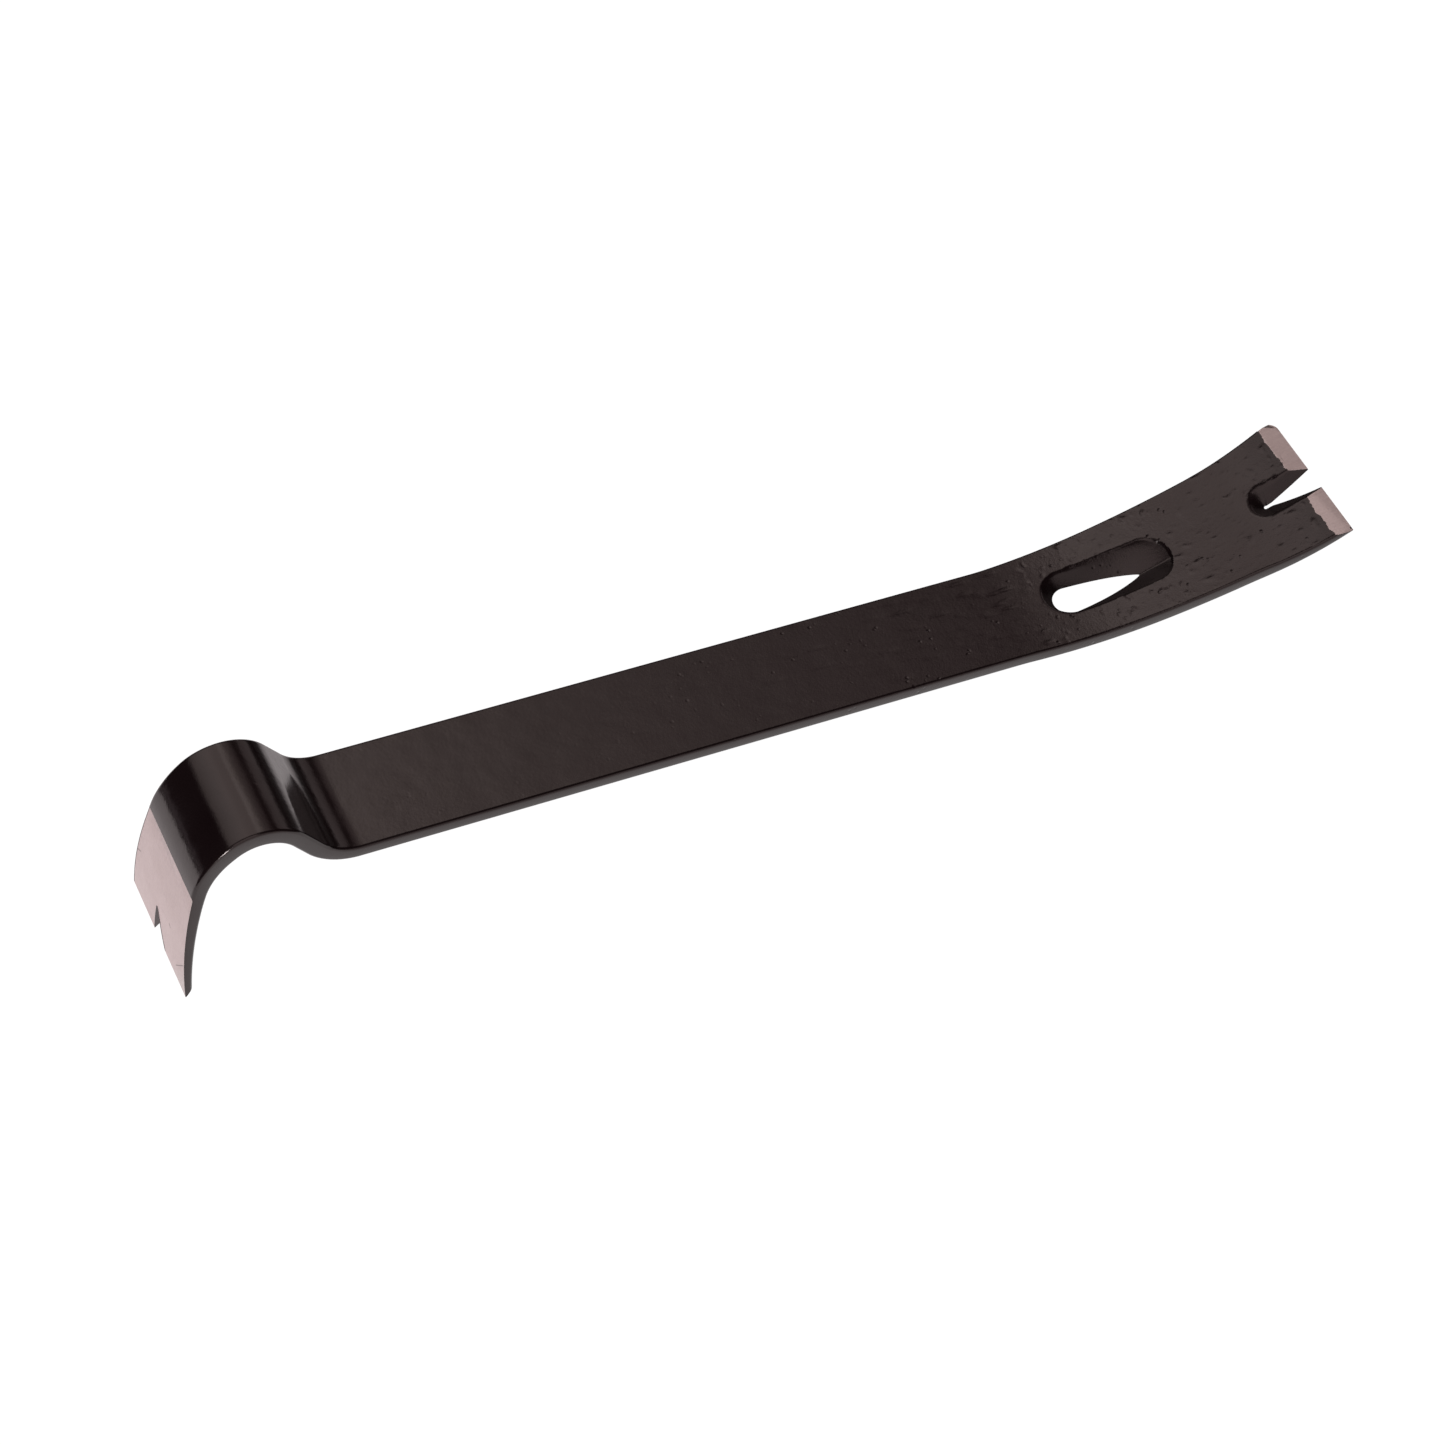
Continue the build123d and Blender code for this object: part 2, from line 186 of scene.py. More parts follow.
class Nodes:
    """A material's node tree, with short calls for the nodes used here."""

    def __init__(self, name):
        self.material = bpy.data.materials.new(name)
        self.material.use_nodes = True
        self.tree = self.material.node_tree
        self.shader = self.tree.nodes["Principled BSDF"]
        self.coords = self.tree.nodes.new("ShaderNodeTexCoord").outputs["Object"]

    def link(self, value, socket):
        join(self.tree, value, socket)

    def stretched(self, scale):
        node = self.tree.nodes.new("ShaderNodeMapping")
        self.link(self.coords, node.inputs["Vector"])
        node.inputs["Scale"].default_value = scale
        return node.outputs["Vector"]

    def noise(self, scale, detail=3.0, roughness=0.5, vector=None):
        node = self.tree.nodes.new("ShaderNodeTexNoise")
        self.link(vector or self.coords, node.inputs["Vector"])
        node.inputs["Scale"].default_value = scale
        node.inputs["Detail"].default_value = detail
        node.inputs["Roughness"].default_value = roughness
        return node.outputs["Fac"]

    def cells(self, scale):
        node = self.tree.nodes.new("ShaderNodeTexVoronoi")
        self.link(self.coords, node.inputs["Vector"])
        node.inputs["Scale"].default_value = scale
        return node.outputs["Distance"]

    def math(self, operation, a, b=0.0):
        node = self.tree.nodes.new("ShaderNodeMath")
        node.operation = operation
        self.link(a, node.inputs[0])
        self.link(b, node.inputs[1])
        return node.outputs[0]

    def span(self, value, low, high, to_low=0.0, to_high=1.0):
        node = self.tree.nodes.new("ShaderNodeMapRange")
        self.link(value, node.inputs["Value"])
        node.inputs["From Min"].default_value = low
        node.inputs["From Max"].default_value = high
        node.inputs["To Min"].default_value = to_low
        node.inputs["To Max"].default_value = to_high
        return node.outputs["Result"]

    def mix_colour(self, factor, a, b):
        return mixed(self.tree, "MIX", factor, a, b)

    def axis(self, name):
        node = self.tree.nodes.new("ShaderNodeSeparateXYZ")
        self.link(self.coords, node.inputs[0])
        return node.outputs[name]

    def bump(self, height, distance, strength, before=None):
        node = self.tree.nodes.new("ShaderNodeBump")
        node.inputs["Strength"].default_value = strength
        node.inputs["Distance"].default_value = distance
        self.link(height, node.inputs["Height"])
        if before is not None:
            self.link(before, node.inputs["Normal"])
        return node.outputs["Normal"]

    def dulled(self, gloss):
        """Roughness, raised where scale has dulled a cut's walls, most on the camera's side."""
        depth = self.tree.nodes.new("ShaderNodeAttribute")
        depth.attribute_name = "wall_depth"
        facing = self.tree.nodes.new("ShaderNodeVectorMath")
        facing.operation = "DOT_PRODUCT"
        geometry = self.tree.nodes.new("ShaderNodeNewGeometry")
        self.link(geometry.outputs["Normal"], facing.inputs[0])
        facing.inputs[1].default_value = (0.6, 0.8, 0)
        turned = self.span(facing.outputs["Value"], 0.15, 0.35)
        cut = self.span(depth.outputs["Fac"], 0.12, 0.3)
        dull = self.math("ADD", self.math("MULTIPLY", turned, 0.40), 0.12)
        return self.math("ADD", gloss, self.math("MULTIPLY", dull, cut))


def lacquer():
    """Gloss black lacquer over forging scale, slightly warm, with pits and orange peel."""
    n = Nodes("black_lacquer")
    patches = n.noise(45, 4)
    colour = n.mix_colour(patches, (0.006, 0.003, 0.0035, 1), (0.013, 0.008, 0.0085, 1))
    n.link(colour, n.shader.inputs["Base Color"])
    gloss = n.span(n.noise(130, 4), 0.3, 0.7, 0.10, 0.19)
    n.link(n.dulled(gloss), n.shader.inputs["Roughness"])
    n.shader.inputs["IOR"].default_value = 1.53
    n.shader.inputs["Specular Tint"].default_value = (1.0, 0.88, 0.865, 1)

    waves = n.bump(n.noise(70, 2), 0.30 * MM, 0.5)
    rough_end = n.span(n.axis("X"), -0.06, 0.10, 0.12, 1.0)
    peel = n.math("MULTIPLY", n.noise(900, 3, 0.6), n.span(rough_end, 0, 1, 0.45, 1.0))
    peeled = n.bump(peel, 0.10 * MM, 0.5, waves)
    grain = n.math("MULTIPLY", n.noise(2100, 2), rough_end)
    grained = n.bump(grain, 0.07 * MM, 0.55, peeled)
    pit = n.span(n.cells(420), 0.0, 0.30, 1.0, 0.0)
    rare = n.span(n.noise(150, 2), 0.57, 0.63)
    pits = n.math("MULTIPLY", n.math("MULTIPLY", pit, rare), rough_end)
    n.link(n.bump(pits, -0.22 * MM, 0.8, grained), n.shader.inputs["Normal"])
    return n.material


def ground_steel():
    """Bare ground steel: satin, with fine lines along the blade and a few scratches."""
    n = Nodes("ground_steel")
    tone = n.noise(90, 4)
    grain = n.noise(1500, 2)
    colour = n.mix_colour(tone, (0.53, 0.44, 0.43, 1), (0.64, 0.54, 0.535, 1))
    mottled = n.mix_colour(n.span(grain, 0.35, 0.65, 0.0, 0.16), colour, (0.36, 0.29, 0.28, 1))
    near_hook = n.math("LESS_THAN", n.axis("X"), 0.0)
    dark = 0.0
    for y, z, length, slope in SCRATCHES:
        along = n.math("SUBTRACT", n.axis("Y"), y * MM)
        level = n.math("ADD", n.math("MULTIPLY", along, slope), z * MM)
        off = n.math("ABSOLUTE", n.math("SUBTRACT", n.axis("Z"), level))
        thin = n.span(off, 0.10 * MM, 0.32 * MM, 1.0, 0.0)
        short = n.span(n.math("ABSOLUTE", along), length * MM / 2, length * MM * 0.62, 1.0, 0.0)
        mark = n.math("MULTIPLY", n.math("MULTIPLY", thin, short), near_hook)
        dark = n.math("MAXIMUM", mark, dark)
    scored = n.mix_colour(n.math("MULTIPLY", dark, 0.75), mottled, (0.12, 0.09, 0.09, 1))
    n.link(scored, n.shader.inputs["Base Color"])
    n.shader.inputs["Metallic"].default_value = 1.0
    lines = n.noise(1.0, 3, 0.6, n.stretched((260, 5200, 260)))
    n.link(n.span(lines, 0.3, 0.7, 0.36, 0.50), n.shader.inputs["Roughness"])
    fine = n.bump(lines, 0.02 * MM, 0.5)
    scratch = n.span(n.noise(1.0, 1, 0.5, n.stretched((900, 120, 900))), 0.70, 0.74)
    n.link(n.bump(scratch, -0.06 * MM, 0.6, fine), n.shader.inputs["Normal"])
    return n.material


# ---- Shape of the strip ---------------------------------------------------------------
def strip(u):
    """Centre x and z, heading and thickness at u along the strip, 0 where the shank starts."""
    if 0 <= u <= SHANK_LENGTH:
        return u, 0.0, 0.0, THICKNESS
    sign, bends = (-1, HOOK_BENDS) if u < 0 else (1, CLAW_BENDS)
    left = -u if u < 0 else u - SHANK_LENGTH
    out = up = heading = 0.0
    thick = THICKNESS
    for length, turn, end_thick in bends:
        step = min(left, length)
        bend = math.radians(turn) * step / length
        chord = 2 * step / bend * math.sin(bend / 2) if bend else step
        out += chord * math.cos(heading + bend / 2)
        up += chord * math.sin(heading + bend / 2)
        heading += bend
        thick += (end_thick - thick) * step / length
        left -= step
        if left <= 0:
            break
    start = 0.0 if sign < 0 else SHANK_LENGTH
    return start + sign * out, up, sign * heading, thick


def half_thickness(u):
    return strip(u)[3] / 2


def side_point(u, t):
    """Point of the side view, t above the strip's middle at u."""
    x, z, heading, _ = strip(u)
    return np.array((x - t * math.sin(heading), z + t * math.cos(heading)))


def plane_height(u, point, direction):
    """Height above the strip's middle at u where a line in the side view crosses."""
    x, z, heading, _ = strip(u)
    across = np.array((-direction[1], direction[0]))
    gap = np.dot(point - np.array((x, z)), across)
    slope = np.dot(np.array((-math.sin(heading), math.cos(heading))), across)
    return gap / slope


def into_plane(at, x, z):
    """Side-view points in the coordinates of the strip's plane at u = at."""
    cx, cz, heading, _ = strip(at)
    dx, dz = x - cx, z - cz
    cos, sin = math.cos(heading), math.sin(heading)
    return dx * cos + dz * sin, dz * cos - dx * sin


def blended(x, corners, radius=150.0):
    """Value at x of a polyline of (x, value) whose corners are rounded."""
    for (x0, y0), (x1, y1), (x2, y2) in zip(corners, corners[1:], corners[2:]):
        before, after = (y1 - y0) / (x1 - x0), (y2 - y1) / (x2 - x1)
        reach = radius * abs(math.atan(after) - math.atan(before)) / 2
        if x1 - reach < x < x1 + reach and reach > 0:
            return y1 + before * (x - x1) + (after - before) * (x - x1 + reach) ** 2 / (4 * reach)
    return float(np.interp(x, [c[0] for c in corners], [c[1] for c in corners]))


CROWN_X, CROWN_Z = strip(-CROWN_AT)[:2]
CLAW_TIP = side_point(CLAW_END, -half_thickness(CLAW_END))
HOOK_TIP = side_point(HOOK_END, half_thickness(HOOK_END) - GRIND_DEPTH - TIP_FLAT)
# Half widths of the bar: by x in plan up to the crown, and by z down the hook's front
PLAN = [
    (CROWN_X, 17.6),
    (CROWN_X + 6, 17.6),
    (0, 18.05),
    (SHANK_LENGTH, 18.05),
    (CLAW_TIP[0] - 28.1, 21.6),
    (CLAW_TIP[0] - BEFORE_TIP, CORNER_Y),
]
FRONT = [(HOOK_TIP[1] - 0.2, 22.2), (CROWN_Z - 12, 17.6), (CROWN_Z + 20, 17.6)]


def half_width(point):
    if point[0] > CROWN_X:
        return blended(point[0], PLAN)
    return blended(point[1], FRONT)


def slot_depth(x, y, z):
    """How far points of the side view, at y, lie above the nail slot's walls."""
    u, height = into_plane(SLOT_AT, x, z)
    slope = (SLOT_RIM_RADIUS - SLOT_LOW_RADIUS) / (SLOT_UPPER_FACE - SLOT_LOWER_FACE)
    top, bottom = SLOT_UPPER_FACE + 2, SLOT_LOWER_FACE - SLOT_LOW_RADIUS / slope
    fall = (SLOT_LOWER_FACE - bottom) / (SLOT_POINT - SLOT_ROUND)
    run = SLOT_POINT + SLOT_RUN_OUT - SLOT_ROUND
    along = np.clip((u - SLOT_ROUND) / run, 0, 1)
    cone = bottom + np.hypot(u - SLOT_ROUND, y) / slope
    valley_y, valley_z = SLOT_DRIFT * along, bottom + fall * run * along
    wall_y = slope * (top - bottom) + SLOT_FLARE * along
    away = np.abs(y - valley_y)
    wide = np.where(y > valley_y, wall_y - valley_y, wall_y + valley_y)
    softness = 0.04
    walls = valley_z + (top - valley_z) * np.sqrt(away ** 2 + softness) / wide
    cut = np.where(u < SLOT_ROUND, cone, walls)
    rim = SLOT_RIM_RADIUS + 0.3
    centre = SLOT_END - rim
    inside = rim - np.where(u > centre, np.hypot(u - centre, y), np.abs(y))
    return np.minimum(height - cut, inside * SLOT_WALL_SLOPE)


def claw_notch_depth(x, y, z):
    """How far points of the side view, at y, lie above the claw notch's walls."""
    u, height = into_plane(CLAW_END - CLAW_NOTCH_PLANE, x, z)
    u = u + CLAW_NOTCH_DEPTH - CLAW_NOTCH_PLANE
    y = y - CLAW_NOTCH_Y
    skew = math.radians(CLAW_NOTCH_SKEW)
    u, y = u * math.cos(skew) + y * math.sin(skew), y * math.cos(skew) - u * math.sin(skew)
    rise = strip(CLAW_END - CLAW_NOTCH_DEPTH)[3]
    low, top = 0.3 - rise / 2, 4.0
    lift = 0.2
    scale = (top - low) / rise
    top_half = CLAW_NOTCH_WIDTH / 2 * scale
    drift = top_half - (CLAW_NOTCH_RIM - CLAW_NOTCH_DEPTH) * (scale - 0.12)
    small = CLAW_NOTCH_ROUNDING
    grow = top_half - small
    a = drift ** 2 - grow ** 2
    b = drift * u + small * grow
    root = np.sqrt(np.maximum(b ** 2 - a * (u ** 2 + y ** 2 - small ** 2), 0))
    cone = low - lift + (b - root) / a * (top - low + lift)
    along = np.clip(u / (CLAW_NOTCH_DEPTH + 4), 0, 1)
    valley = low - CLAW_NOTCH_FALL * along
    walls = valley + (top - valley) * np.abs(y) / (top_half - CLAW_NOTCH_TAPER * along)
    uncut, open_through = 99, -9
    walls = np.where(u > 0, walls, uncut)
    cut = np.minimum(cone, walls)
    cut = np.where((u > 0) & (np.abs(y) < small), open_through, cut)
    return height - cut


def hook_notch_wall(z):
    """Middle and half width, in y, of the hook's notch at height z of the side view."""
    rise = (z - HOOK_TIP[1]) / HOOK_NOTCH_DEPTH
    return HOOK_NOTCH_Y + HOOK_NOTCH_LEAN * rise, HOOK_NOTCH_HALF - HOOK_NOTCH_TAPER * rise, rise


def smooth_max(a, b, size):
    blend = np.maximum(size - np.abs(a - b), 0)
    return np.maximum(a, b) + blend ** 2 / (4 * size)


def sunk(u, ys, above):
    """Depth of a cut below the upper face at u, square to the strip, with a rounded rim."""
    x, z, heading, thick = strip(u)
    depth = np.zeros_like(ys)
    clearance = 0.03
    for turn in range(5):
        t = thick / 2 - np.clip(depth, 0, 9)
        gap = above(x - t * math.sin(heading), ys, z + t * math.cos(heading)) - clearance
        depth = gap if turn == 0 else depth + np.where(depth > 0, gap, 0)
    to_bevel = CLAW_END - CLAW_BEVEL - 1 - u
    rounding = float(np.interp(to_bevel, (0, 7), (RIM_ROUNDING_AT_BEVEL, RIM_ROUNDING)))
    return np.clip(smooth_max(depth, 0.0, rounding), 0, 12)


# ---- Lacquer ----------------------------------------------------------------------------
def spaced(stops):
    """Values through (value, step after it) stops."""
    values = []
    for (start, step), (end, _) in zip(stops, stops[1:]):
        count = max(1, round((end - start) / step))
        values += [start + (end - start) * i / count for i in range(count)]
    return values + [stops[-1][0]]


class Sheet:
    """Vertices with strip coordinates and limits, and polygons that limits can clip.

    A vertex's coordinates are u, y, t and wall depth, followed by one value for each limit.
    """

    def __init__(self, points, coords, faces):
        self.points, self.coords, self.faces = points, coords, faces

    def clip(self, column):
        """Keeps what has a positive value in a column; returns the new border's vertex pairs."""
        made, kept, border = {}, [], []

        def value(i):
            return self.coords[i][column]

        def crossing(i, j):
            key = (min(i, j), max(i, j))
            if key not in made:
                i, j = key
                part = value(i) / (value(i) - value(j))
                made[key] = len(self.points)
                self.points.append(self.points[i] + (self.points[j] - self.points[i]) * part)
                self.coords.append(self.coords[i] + (self.coords[j] - self.coords[i]) * part)
            return made[key]

        for face in self.faces:
            inside = [value(i) > 0 for i in face]
            if all(inside):
                kept.append(face)
                continue
            if not any(inside):
                continue
            loop, edge = [], []
            for i, j in zip(face, face[1:] + face[:1]):
                if value(i) > 0:
                    loop.append(i)
                if (value(i) > 0) != (value(j) > 0):
                    loop.append(crossing(i, j))
                    edge.append(loop[-1])
            if len(loop) >= 3:
                kept.append(tuple(loop))
                if len(edge) == 2:
                    border.append(tuple(edge))
        self.faces = kept
        return border


def ragged(y):
    """How far past the bevel's line the lacquer runs."""
    slow = noise.noise(Vector((y * 0.22, 3.1, 0.5)))
    fast = noise.noise(Vector((y * 0.95, 7.7, 1.5)))
    fine = noise.noise(Vector((y * 2.6, 1.3, 9.5)))
    return 0.55 * slow + 0.45 * fast + 0.22 * fine


def dents(u, y):
    """Depth of the forging's shallow dents in the upper face."""
    strong = np.interp(u, (-60, 60, 150, SHANK_LENGTH, 400), (0.1, 0.15, 0.5, 1.0, 1.0))
    swell = 0.045 * (1 + noise.noise(Vector((u * 0.11, y * 0.16, 0.3))))
    dent = noise.noise(Vector((u * 0.30, y * 0.42, 4.2)))
    small = noise.noise(Vector((u * 0.62, y * 0.8, 8.2)))
    deep = 0.45 * max(dent - 0.34, 0) + 0.40 * max(small - 0.38, 0)
    return strong * (swell + deep)


def lacquer_sheet():
    """The lacquer's outside, clipped, with the hook notch's border and the tip's bevel line."""
    us = spaced([
        (HOOK_END, 0.5),
        (HOOK_END + 14, 1.2),
        (-GRIND_START - 29, 0.5),
        (-GRIND_START - 22, 0.5),
        (0, 1.0),
        (20, 2.5),
        (200, 1.5),
        (SLOT_AT - WINDOW, 0.36),
        (SLOT_AT + WINDOW, 0.8),
        (CLAW_END - WINDOW, 0.36),
        (CLAW_END, 1),
    ])
    columns = spaced([(-1, 0.026), (-0.47, 0.0181), (0.47, 0.026), (1, 1)])
    arc = [math.radians(a) for a in (72, 54, 36, 18, 0)]
    r = EDGE_RADIUS
    n_flat, n_arcs = len(columns), 2 * len(arc)
    grind_end = HOOK_END + GRIND_START
    ramp_end = grind_end + GRIND_RAMP
    grind_top = side_point(grind_end, half_thickness(grind_end) - GRIND_DEPTH)
    ramp = side_point(ramp_end, half_thickness(ramp_end) + TIP_FLAT / 2)
    bevel_start = CLAW_END - CLAW_BEVEL
    bevel = side_point(bevel_start, half_thickness(bevel_start))
    edge = side_point(CLAW_END, TIP_FLAT - half_thickness(CLAW_END))
    inner_start = HOOK_END + HOOK_BEVEL
    inner = side_point(inner_start, -half_thickness(inner_start))
    tip_line = (inner, HOOK_TIP - inner)
    never = 99.0

    points, coords = [], []
    for u in us:
        half = half_thickness(u)
        section = [(v, half, 0.0) for v in columns]
        section += [(1, half - r + r * math.sin(a), r * math.cos(a)) for a in arc]
        section += [(1, r - half - r * math.sin(a), r * math.cos(a)) for a in reversed(arc)]
        section += [(v, -half, 0.0) for v in reversed(columns)]
        section += [(-1, r - half - r * math.sin(a), -r * math.cos(a)) for a in arc]
        section += [(-1, half - r + r * math.sin(a), -r * math.cos(a)) for a in reversed(arc)]
        grind, claw_bevel, tip_bevel = never, never, -never
        if u < ramp_end:
            grind = half - GRIND_DEPTH
            if u > grind_end:
                grind = plane_height(u, ramp, grind_top - ramp)
        if u > CLAW_END - 3 * CLAW_BEVEL:
            claw_bevel = plane_height(u, bevel, edge - bevel)
        if u < HOOK_END + 3 * HOOK_BEVEL:
            tip_bevel = plane_height(u, *tip_line)
        middle_width = half_width(side_point(u, 0)) - r
        flat_y = np.array(columns) * middle_width
        cuts = np.zeros(n_flat)
        if abs(u - SLOT_AT) < WINDOW:
            cuts = sunk(u, flat_y, slot_depth)
        elif u > CLAW_END - WINDOW - 1:
            cuts = sunk(u, flat_y, claw_notch_depth)
        for k, (v, t, extra) in enumerate(section):
            p = side_point(u, t)
            y = v * middle_width + v ** 3 * (half_width(p) - r - middle_width) + extra
            below = k - n_flat - n_arcs
            upper, lower = k < n_flat, 0 <= below < n_flat
            depth = 0.0
            if upper:
                depth = cuts[k]
            elif lower:
                depth = cuts[n_flat - 1 - below]
            through = 2 * half - depth if upper or lower else 1.0
            bare = grind - t - (0.0 if upper else 0.05)
            past = bevel_start + ragged(y) - u
            if upper:
                if u > -GRIND_START - 22:
                    depth += dents(u, y) * min(1.0, max(0.0, 1 - 2 * depth))
                on_wall = min(claw_bevel - (half - depth), (depth - 0.3) * 4)
                bare = min(bare, max(past, on_wall))
                t = min(half - depth, claw_bevel + 0.04)
                p = side_point(u, t)
            else:
                if y > 0 and not lower:
                    bare = min(bare, past)
                bare = min(bare, claw_bevel - t)
            corner = 1.0
            for sign, radius in ((1, FAR_CORNER), (-1, NEAR_CORNER)):
                dx = p[0] - (CLAW_TIP[0] - BEFORE_TIP - radius)
                dy = sign * y - (CORNER_Y - radius)
                if dx > 0 and dy > 0:
                    corner = radius - math.hypot(dx, dy)
            notch_y, notch_half, rise = hook_notch_wall(p[1])
            notch = abs(y - notch_y) - notch_half if rise < 1 else 1.0
            wall_depth = min(depth / 2, 1.0) if upper else 0.0
            points.append(np.array((p[0], y, p[1])))
            limits = (through, bare, t - tip_bevel, corner, notch)
            coords.append(np.array((u, y, t, wall_depth, *limits)))

    n = len(section)
    faces = []
    for i in range(len(us) - 1):
        for k in range(n):
            m = (k + 1) % n
            faces.append((i * n + k, (i + 1) * n + k, (i + 1) * n + m, i * n + m))
    sheet = Sheet(points, coords, faces)
    for column in range(4, 4 + len(limits)):
        border = sheet.clip(column)
    return sheet, border, tip_line


def add_notch_walls(sheet, border, tip_line):
    """The hook notch's walls: from the clipped inner face outwards, and beside the tip's bevel."""
    outer = {}
    for a, b in border:
        for i in (a, b):
            if i not in outer:
                u, y = sheet.coords[i][:2]
                p = side_point(u, half_thickness(u) - GRIND_DEPTH)
                outer[i] = len(sheet.points)
                sheet.points.append(np.array((p[0], y, p[1])))
                sheet.coords.append(np.array((u, y, 0.0, 0.0)))
        if all(sheet.coords[i][2] < 0 for i in (a, b)):
            sheet.faces.append((a, b, outer[b], outer[a]))

    steps = 6
    for side in (-1, 1):
        for i in range(steps + 1):
            u = HOOK_END + HOOK_BEVEL * (1 - i / steps)
            front = half_thickness(u) - GRIND_DEPTH
            for t in (min(plane_height(u, *tip_line), front), front):
                p = side_point(u, t)
                notch_y, notch_half, _ = hook_notch_wall(p[1])
                y = notch_y + side * notch_half
                sheet.points.append(np.array((p[0], y, p[1])))
                sheet.coords.append(np.array((u, y, t, 0.0)))
            if i:
                k = len(sheet.points)
                sheet.faces.append((k - 4, k - 3, k - 1, k - 2))


def placed(points):
    """Strip points in the frame, within the CAD box.

    The shank's face gives the plane, and the claw's edge lies at the box's high x.
    """
    mount = next(m for m in frame["record"]["mounts"] if m["name"] == "shank_face")
    normal = np.array(mount["axis"])
    along = np.array((normal[2], 0, -normal[0]))
    across = np.array((0, 1, 0))
    base = np.array(mount["pos_m"]) - normal * THICKNESS / 2 * MM
    tip = CLAW_TIP * MM
    base = base + along * ((cad_high[0] - base[0] - normal[0] * tip[1]) / along[0] - tip[0])
    world = [base + (along * p[0] + across * p[1] + normal * p[2]) * MM for p in points]
    return [np.clip(p, cad_low, cad_high) for p in world]


def turn_lip(bm):
    """Turns every open border inwards by the lacquer's thickness."""
    lip = [e for e in bm.edges if e.is_boundary]
    normals = {v: v.normal.copy() for e in lip for v in e.verts}
    made = bmesh.ops.extrude_edge_only(bm, edges=lip)["geom"]
    for v in [v for v in made if isinstance(v, bmesh.types.BMVert)]:
        for e in v.link_edges:
            other = e.other_vert(v)
            if other in normals:
                v.co = other.co - normals[other] * LIP * MM
                break


def add_piece(name, mesh, material, sharp):
    """An object shaded smooth except at edges sharper than an angle."""
    for face in mesh.polygons:
        face.use_smooth = True
    mesh.set_sharp_from_angle(angle=math.radians(sharp))
    mesh.materials.clear()
    mesh.materials.append(material)
    piece = bpy.data.objects.new(name, mesh)
    bpy.context.scene.collection.objects.link(piece)
    return piece


def add_lacquer(material):
    sheet, border, tip_line = lacquer_sheet()
    add_notch_walls(sheet, border, tip_line)
    mesh = bpy.data.meshes.new("lacquer_skin")
    mesh.from_pydata([tuple(p) for p in placed(sheet.points)], [], sheet.faces)
    wall_depth = mesh.attributes.new("wall_depth", "FLOAT", "POINT")
    wall_depth.data.foreach_set("value", [float(c[3]) for c in sheet.coords])
    bm = bmesh.new()
    bm.from_mesh(mesh)
    loose = [v for v in bm.verts if not v.link_faces]
    bmesh.ops.delete(bm, geom=loose, context="VERTS")
    bmesh.ops.remove_doubles(bm, verts=bm.verts, dist=0.004 * MM)
    bmesh.ops.recalc_face_normals(bm, faces=bm.faces)
    bm.normal_update()
    turn_lip(bm)
    bm.to_mesh(mesh)
    bm.free()
    skin = add_piece("lacquer_skin", mesh, material, sharp=38)
    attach(skin, "root")
    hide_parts("lacquer_coat")


def add_core(material):
    """The forging, a little thinner under the lacquer so that it never shows through."""
    mesh = frame["nodes"]["forged_bar"].data.copy()
    mesh.name = "forging"
    bm = bmesh.new()
    bm.from_mesh(mesh)
    bmesh.ops.remove_doubles(bm, verts=bm.verts, dist=0.002 * MM)
    bm.normal_update()
    hook_side, claw_side = cad_low[0] + 18 * MM, cad_high[0] - 9 * MM
    hidden = [v for v in bm.verts if hook_side < v.co.x < claw_side]
    moves = [v.co - v.normal * TUCK * MM for v in hidden]
    for v, place in zip(hidden, moves):
        v.co = place
    bm.to_mesh(mesh)
    bm.free()
    core = add_piece("forging", mesh, material, sharp=20)
    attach(core, "root")
    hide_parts("forged_bar")


# ---- Studio -----------------------------------------------------------------------------
def add_facing(thing, direction):
    """Puts a camera or a light in the scene, facing along a direction."""
    thing.rotation_mode = "QUATERNION"
    thing.rotation_quaternion = direction.to_track_quat("-Z", "Y")
    bpy.context.scene.collection.objects.link(thing)


def add_camera():
    azimuth, elevation = math.radians(CAMERA_AZIMUTH), math.radians(CAMERA_ELEVATION)
    flat = math.cos(elevation)
    look = Vector((math.sin(azimuth) * flat, math.cos(azimuth) * flat, -math.sin(elevation)))
    data = bpy.data.cameras.new("camera")
    data.lens = LENS
    data.sensor_width = SENSOR
    data.clip_start, data.clip_end = 0.01, 20
    camera = bpy.data.objects.new("camera", data)
    camera.location = CAMERA_AIM - look * CAMERA_DISTANCE
    add_facing(camera, look)
    bpy.context.scene.camera = camera


def add_light(name, direction, distance, size, power):
    """A square area light that faces the origin."""
    direction = Vector(direction).normalized()
    data = bpy.data.lights.new(name, "AREA")
    data.shape = "RECTANGLE"
    data.size = data.size_y = size
    data.energy = power
    light = bpy.data.objects.new(name, data)
    light.location = direction * distance
    add_facing(light, -direction)


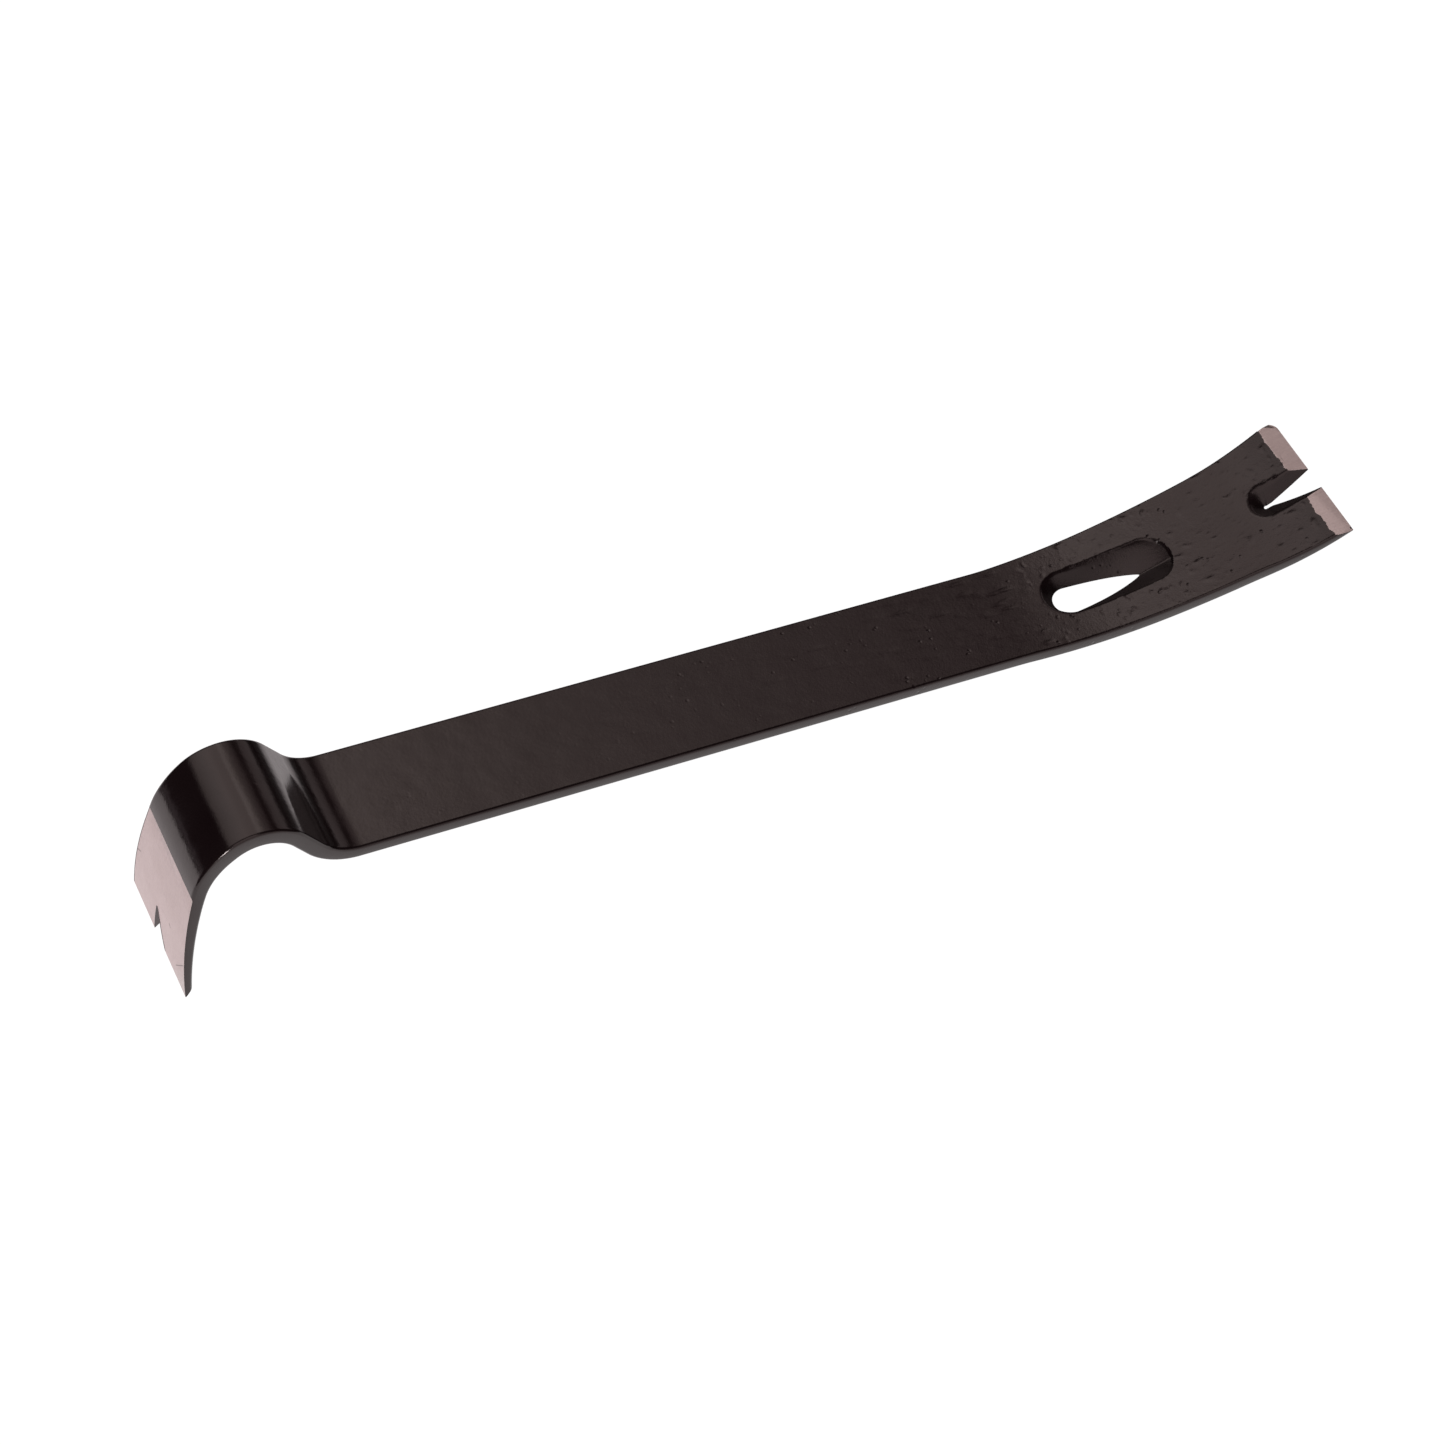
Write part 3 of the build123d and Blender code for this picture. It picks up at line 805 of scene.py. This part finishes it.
def add_floor():
    """A white floor that glows. What the bar reflects of it is painted shade: dark behind the claw and
    faintly pink behind the rest.
    """
    left, right, deep = FLOOR_LEFT, FLOOR_REACH, FLOOR_REACH
    mesh = bpy.data.meshes.new("floor")
    corners = [(left, -deep, 0), (right, -deep, 0), (right, deep, 0), (left, deep, 0)]
    mesh.from_pydata(corners, [], [(0, 1, 2, 3)])
    floor = bpy.data.objects.new("floor", mesh)
    bpy.context.scene.collection.objects.link(floor)
    n = Nodes("floor")
    n.shader.inputs["Base Color"].default_value = (0.10, 0.10, 0.10, 1)
    n.shader.inputs["Roughness"].default_value = 0.9
    n.shader.inputs["Specular IOR Level"].default_value = 0.0
    # Painted shade in the floor's glow, seen only in the bar's reflections: a dark patch behind the
    # claw and a faint pink glow behind the rest. The camera sees plain white.
    behind = n.span(n.axis("Y"), -0.017, -0.010)
    beyond = n.span(n.axis("X"), -0.05, 0.06)
    shade = n.math("MULTIPLY", behind, beyond)
    glow = n.mix_colour(shade, (1.0, 0.93, 0.94, 1), (0.03, 0.025, 0.025, 1))
    glow = n.mix_colour(n.math("SUBTRACT", 1.0, behind), glow, WHITE)
    rays = n.tree.nodes.new("ShaderNodeLightPath").outputs["Is Camera Ray"]
    n.link(n.mix_colour(rays, glow, WHITE), n.shader.inputs["Emission Color"])
    n.shader.inputs["Emission Strength"].default_value = 1.0
    mesh.materials.append(n.material)


def add_ramp(tree, value, limit, stops):
    """Colours at (value, colour) stops that run from -limit to limit."""
    place = tree.nodes.new("ShaderNodeMapRange")
    place.inputs["From Min"].default_value = -limit
    place.inputs["From Max"].default_value = limit
    ramp = tree.nodes.new("ShaderNodeValToRGB")
    join(tree, value, place.inputs["Value"])
    join(tree, place.outputs["Result"], ramp.inputs["Fac"])
    elements = ramp.color_ramp.elements
    elements[0].color, elements[1].color = (*stops[0][1], 1), (*stops[-1][1], 1)
    for at, colour in stops[1:-1]:
        elements.new((at / stops[-1][0] + 1) / 2).color = (*colour, 1)
    return ramp.outputs["Color"]


def add_sky():
    """A studio's soft boxes and dark gaps, as bands that run beside the bar."""
    world = bpy.data.worlds.new("studio")
    world.use_nodes = True
    bpy.context.scene.world = world
    tree = world.node_tree
    coords = tree.nodes.new("ShaderNodeTexCoord")
    split = tree.nodes.new("ShaderNodeSeparateXYZ")
    join(tree, coords.outputs["Generated"], split.inputs[0])
    tilt = tree.nodes.new("ShaderNodeMath")
    tilt.operation = "ARCTAN2"
    join(tree, split.outputs["X"], tilt.inputs[0])
    join(tree, split.outputs["Z"], tilt.inputs[1])
    angle, depth = tilt.outputs[0], split.outputs["Y"]

    beside = add_ramp(tree, angle, math.pi, BANDS)
    fore = add_ramp(tree, depth, 1.0, [(y, (f, f, f)) for y, f in DEPTHS])
    front = tree.nodes.new("ShaderNodeMath")
    front.operation = "LESS_THAN"
    join(tree, depth, front.inputs[0])
    front.inputs[1].default_value = FRONT_BOX[0]
    shade = mixed(tree, "MULTIPLY", 1.0, beside, fore)
    box = mixed(tree, "MULTIPLY", 1.0, fore, FRONT_BOX[1])
    both = mixed(tree, "MIX", front.outputs[0], shade, box)
    over = add_ramp(tree, angle, math.pi, [(a, (f, f, f)) for a, f in LID_BANDS])
    lid = add_ramp(tree, depth, 1.0, [(y, [f * c for c in LID_TINT]) for y, f in LID_DEPTHS])
    every = mixed(tree, "ADD", 1.0, both, mixed(tree, "MULTIPLY", 1.0, over, lid))
    rays = tree.nodes.new("ShaderNodeLightPath")
    seen = mixed(tree, "MIX", rays.outputs["Is Camera Ray"], every, WHITE)
    join(tree, seen, tree.nodes["Background"].inputs["Color"])
    tree.nodes["Background"].inputs["Strength"].default_value = 1.0


add_camera()
add_floor()
add_sky()
add_light("glint", (-0.632, -0.723, 0.276), distance=1.3, size=0.2, power=7.0)
add_lacquer(lacquer())
add_core(ground_steel())
bpy.context.scene.view_settings.view_transform = "Standard"
